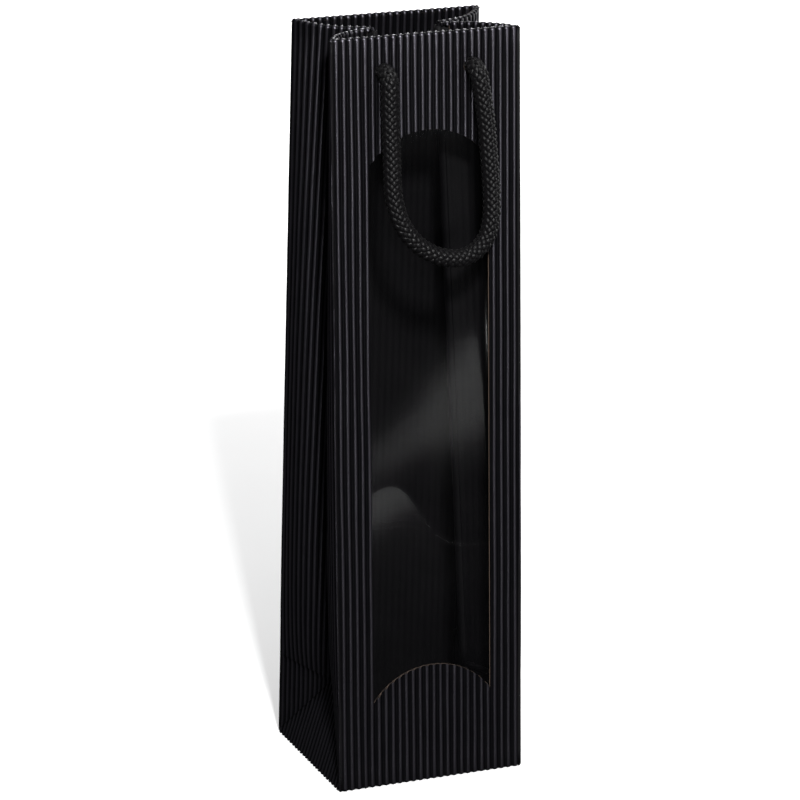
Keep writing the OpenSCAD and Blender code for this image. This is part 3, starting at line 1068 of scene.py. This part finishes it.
def make_side(right_side, back):
    """One side half with its roll, and its hem as a second piece."""
    lr, fb = SIDES[right_side], ENDS[back]
    place = side_surface(right_side, back)
    bend = (f"{lr}_side_{fb}", *corner_line(right_side, back))
    seed = 11.0 + 2 * right_side + back
    near_crease = [HALF_SIDE + 1 * MM, HALF_SIDE + 2.2 * MM]
    made = board(f"{lr} side, {fb} half", column_lines(CORNER, HALF_SIDE - 0.1 * MM),
                 level_lines(HALF_SIDE + CREASE, TOP_START, near_crease) + ROLL_LEVELS[1:],
                 whole(HALF_SIDE + CREASE, TOP_END), place, phase=SHEET_PHASE, seed=seed)
    if back:
        heights = np.linspace(HALF_SIDE - 1 * MM, PANEL_H - 1.2 * MM, 40)
        crease = leaned(stacked(-BAG_W / 2 + fold_in(heights), HALF_SIDE, heights), True)
        crease[:, 1] = 0
        ridge = spine(*mirrored(crease, np.tile([1.0, 0, 0], (40, 1)), right_side), 2.5 * MM, 0.3 * MM)
        made = join(made.name, [made, ridge])
    finished(made, fb, [f"{lr}_side_{fb}"], bend)
    hem = board(f"{lr} side hem, {fb} half", column_lines(8 * MM, 38 * MM),
                level_lines(TOP_END, HEM_END), whole(TOP_END, HEM_END), place, phase=SHEET_PHASE,
                cut_at=cut_all, seed=seed + 0.5)
    finished(hem, fb, [f"{lr}_side_{fb}_hem"], bend)


for right_side in (False, True):
    for back in (False, True):
        make_side(right_side, back)

# %% [markdown]
# ## The creased bottom corners
# Folding a round sheet into a square bottom leaves a triangle beside each corner and one on each short edge
# of the bottom. They meet along diagonal creases. The flutes keep running upright through all of them, so
# each triangle is the same sheet again, cut by slanting edge functions.

# %% Corner triangles and feet
def corner_surface(right_side, back):
    """place(u, h) of the plane beside a corner, leaning in by the crease tilt."""
    def place(u, h):
        points = leaned(stacked(-BAG_W / 2 + u * math.sin(FOOT_TILT), u * math.cos(FOOT_TILT), h), back)
        normal = turned(np.tile([math.cos(FOOT_TILT), -math.sin(FOOT_TILT), 0], (len(u), 1)), back)
        normal = normal * crease_crush(np.minimum(HALF_SIDE - h, (h - u) * 0.7))[:, None]
        return mirrored(points, normal, right_side)
    return place


def foot_surface(right_side):
    """place(u, h) of the triangle on a short bottom edge; u is measured from the front corner."""
    def place(u, h):
        under = np.clip((LOW_R - h) / LOW_R, 0, math.pi / 2)
        depth = LOW_R * (1 - np.cos(under))
        height = np.where(h < LOW_R, LOW_R - LOW_R * np.sin(under), h)
        tilt_cos, tilt_sin = math.cos(FOOT_TILT), math.sin(FOOT_TILT)
        x = -BAG_W / 2 + depth * tilt_cos + height * tilt_sin
        rise = height * tilt_cos - depth * tilt_sin
        normal = stacked(np.cos(under) * tilt_cos + np.sin(under) * tilt_sin, 0,
                         np.sin(under) * tilt_cos - np.cos(under) * tilt_sin)
        normal = normal * crease_crush((np.minimum(u, 2 * HALF_SIDE - u) - h) * 0.7)[:, None]
        points = stacked(x, -HALF_SIDE + u, np.maximum(rise, 0.02 * MM))
        return mirrored(points, normal, right_side)
    return place


def diagonal(u):
    """Height of the diagonal crease above the bottom edge, u from the corner."""
    return min(u, 2 * HALF_SIDE - u)


def make_corner(right_side, back):
    """One corner triangle, with the ridge of its level crease."""
    lr, fb = SIDES[right_side], ENDS[back]
    place = corner_surface(right_side, back)
    made = board(f"{lr} {fb} corner triangle", column_lines(CORNER, HALF_SIDE - 1.2 * MM),
                 level_lines(0, HALF_SIDE, [HALF_SIDE - 2.2 * MM, HALF_SIDE - 1 * MM]),
                 lambda u: [(lambda v: diagonal(v) + CREASE, lambda v: HALF_SIDE - CREASE)],
                 place, phase=SHEET_PHASE, seed=21.0)
    ridge = spine(*place(np.linspace(CORNER, HALF_SIDE - 1.5 * MM, 12), np.full(12, HALF_SIDE)))
    node = f"{lr}_corner_{fb}"
    finished(join(made.name, [made, ridge]), node, [node])


def make_foot(right_side):
    """The triangle on one short bottom edge, with the ridges of its two diagonal creases."""
    lr, start = SIDES[right_side], 2.2 * MM
    place = foot_surface(right_side)
    made = board(f"{lr} foot triangle", column_lines(start, 2 * HALF_SIDE - start, [HALF_SIDE]),
                 level_lines(LOW_R, HALF_SIDE) + LOW_LEVELS[1:],
                 lambda u: [(lambda v: LOW_END, lambda v: diagonal(v) - CREASE)],
                 place, phase=SHEET_PHASE, seed=25.0)
    diagonals = [np.linspace(3 * MM, HALF_SIDE, 12), np.linspace(HALF_SIDE, 2 * HALF_SIDE - 3 * MM, 12)]
    ridges = [spine(*place(u, np.minimum(u, 2 * HALF_SIDE - u))) for u in diagonals]
    finished(join(made.name, [made] + ridges), f"{lr}_foot", [f"{lr}_foot"])


for right_side in (False, True):
    make_corner(right_side, False)
    make_corner(right_side, True)
    make_foot(right_side)

# %% [markdown]
# ## The bottom and its card
# Two short flaps and two long ones close the bottom. The long back flap is glued over the front one, so it
# steps up where it crosses the front flap's end. A loose card lies on top and keeps the bottom flat.

# %% Bottom flaps and card
FLAP_X = BAG_W / 2 - BOARD - 1.7 * MM
FLAP_Y = HALF_SIDE - BOARD - 0.6 * MM
CARD_X, CARD_Y = FLAP_X - 2 * MM, FLAP_Y - 2 * MM
SIDE_FLAP, OVERLAP = 26 * MM, 12 * MM


def flap_surface(route, along_y, sign):
    """place(u, h) of a level flap whose crests face down; route gives its height above the floor."""
    def place(u, h):
        x, y = (u, sign * h) if along_y else (sign * h, u)
        return stacked(x, y, np.interp(h, *route)), np.tile([0.0, 0.0, 1.0], (len(u), 1))
    return place


STEP_AT, STEP_LENGTH = OVERLAP + 0.4 * MM, 2.6 * MM
GROUND, ON_FLAP, ON_TWO = 0.03 * MM, 1.63 * MM, 3.23 * MM
for name, route, sign, seed, extra in (
        ("front", ([-1, 1], [GROUND, GROUND]), -1, 31.0, []),
        ("back", ([-1, STEP_AT, STEP_AT + STEP_LENGTH, 1], [ON_FLAP, ON_FLAP, GROUND, GROUND]), 1, 32.0,
         [STEP_AT, STEP_AT + STEP_LENGTH])):
    made = board(f"bottom {name} flap", column_lines(-FLAP_X, FLAP_X), level_lines(-OVERLAP, FLAP_Y, extra),
                 whole(-OVERLAP, FLAP_Y), flap_surface(route, True, sign), cut_at=cut_all, seed=seed)
    finished(made, "base", [f"bottom_{name}_flap"])
short = [board(f"short flap {k}", column_lines(-CARD_Y, CARD_Y), level_lines(CARD_X - SIDE_FLAP, CARD_X),
               whole(CARD_X - SIDE_FLAP, CARD_X), flap_surface(([-1, 1], [ON_TWO, ON_TWO]), False, sign),
               cut_at=cut_all, seed=33.0 + k)
         for k, sign in enumerate((-1, 1))]
finished(join("bottom side flaps", short), "base", ["bottom_side_flaps"])


def soft_slab(name, low, high, radius, paint):
    """A flat slab with rounded upright corners and broken edges."""
    bm = bmesh.new()
    bmesh.ops.create_cube(bm, size=1)
    for vert in bm.verts:
        vert.co = Vector([(low[i] + high[i]) / 2 + vert.co[i] * (high[i] - low[i]) for i in range(3)])
    upright = [e for e in bm.edges if abs(e.verts[0].co.z - e.verts[1].co.z) > 1e-6]
    bmesh.ops.bevel(bm, geom=upright, offset=radius, segments=6, affect="EDGES", profile=0.5)
    level = [e for e in bm.edges if abs(e.verts[0].co.z - e.verts[1].co.z) < 1e-9]
    bmesh.ops.bevel(bm, geom=level, offset=0.12 * MM, segments=2, affect="EDGES", profile=0.5)
    mesh = bpy.data.meshes.new(name)
    bm.to_mesh(mesh)
    bm.free()
    mesh.materials.append(paint)
    return object_from(name, mesh)


card = soft_slab("bottom card", (-CARD_X, -CARD_Y, 4.82 * MM), (CARD_X, CARD_Y, 5.8 * MM), 2 * MM, CARD)
finished(card, "base", ["bottom_card"])

# %% [markdown]
# ## The seam
# The sheet is closed into a tube by a narrow flap, glued inside the back panel beside the left side. It is
# the same board, so it is drawn with the same builder; its cut edge stays visible inside the bag.

# %% Seam flap
def seam_surface(u, h):
    """Place of a flat strip behind the back panel's liner, crests towards the panel."""
    return (leaned(stacked(u, BOARD + 0.03 * MM, h), True),
            turned(np.tile([0.0, 1.0, 0.0], (len(u), 1)), True))


SEAM_X, SEAM_W, SEAM_TOP = -BAG_W / 2 + 9 * MM, 15 * MM, PANEL_H - HEM_H - 1 * MM
made = board("seam flap", column_lines(SEAM_X, SEAM_X + SEAM_W), level_lines(HALF_SIDE, SEAM_TOP),
             whole(HALF_SIDE, SEAM_TOP), seam_surface, cut_at=cut_all, seed=41.0)
finished(made, "back", ["seam_flap"])

# %% [markdown]
# ## The window film
# The film is glued behind the window along its border and is slack in between. Its surface is a few long
# swells: one diagonal roll through the middle and an S-shaped ripple below it, which mirror the softbox as
# broad soft bands.

# %% Film
GLUED = 7 * MM


def film_depth(x, z):
    """How far the slack film stands behind its glued border, in metres, at x and z of the panel frame.
    The swells are written as slopes in millimetres and added up from the bottom."""
    x, z = (x - WINDOW_X) / MM, z / MM
    step = z[1, 0] - z[0, 0]
    middle = 172 + 0.6 * x
    roll = 0.15 * np.exp(-((z - middle) / (28 + 6 * np.tanh(x / 16))) ** 2)
    fold = 131 - 17 * np.tanh((x + 3) / 11) - 6 * np.exp(-((x + 30) / 9) ** 2)
    below = np.clip(fold - z, 0, 80)
    under = np.where(z < fold, (0.125 - 0.0012 * below) / (1 + np.exp((below - 42) / 5)), 0)
    recovery = 0.038 * ((z > fold) & (z < fold + 110))
    left_weight = 1 / (1 + np.exp((x - 6) / 6))
    line = 0.17 * np.exp(-((z - fold) / 0.8) ** 2)
    deep = np.cumsum(roll + (under - recovery) * left_weight + line, axis=0) * step
    top_share = np.clip((z - z[0, 0]) / (z[-1, 0] - z[0, 0]) * 2.63 - 1.63, 0, 1)
    deep = deep - deep[-1:] * top_share ** 2 * (3 - 2 * top_share)
    border = 1 - np.abs(x / ((WINDOW_W / 2 + GLUED) / MM)) ** 20
    return (0.05 + deep * border) * MM


FILM_COLUMNS, FILM_ROWS = 60, 300
xs = WINDOW_X + np.linspace(-GLUED - WINDOW_W / 2, GLUED + WINDOW_W / 2, FILM_COLUMNS)
zs = np.linspace(WINDOW_LOW - GLUED, PANEL_H - HEM_H - 2 * MM, FILM_ROWS)
grid_x, grid_z = np.meshgrid(xs, zs)
flat = stacked(grid_x.ravel(), BOARD + film_depth(grid_x, grid_z).ravel(), grid_z.ravel())
film = smooth_object("window film", leaned(flat).tolist(), grid_faces(FILM_ROWS, FILM_COLUMNS), FILM)
finished(film, "front", ["window_film"])
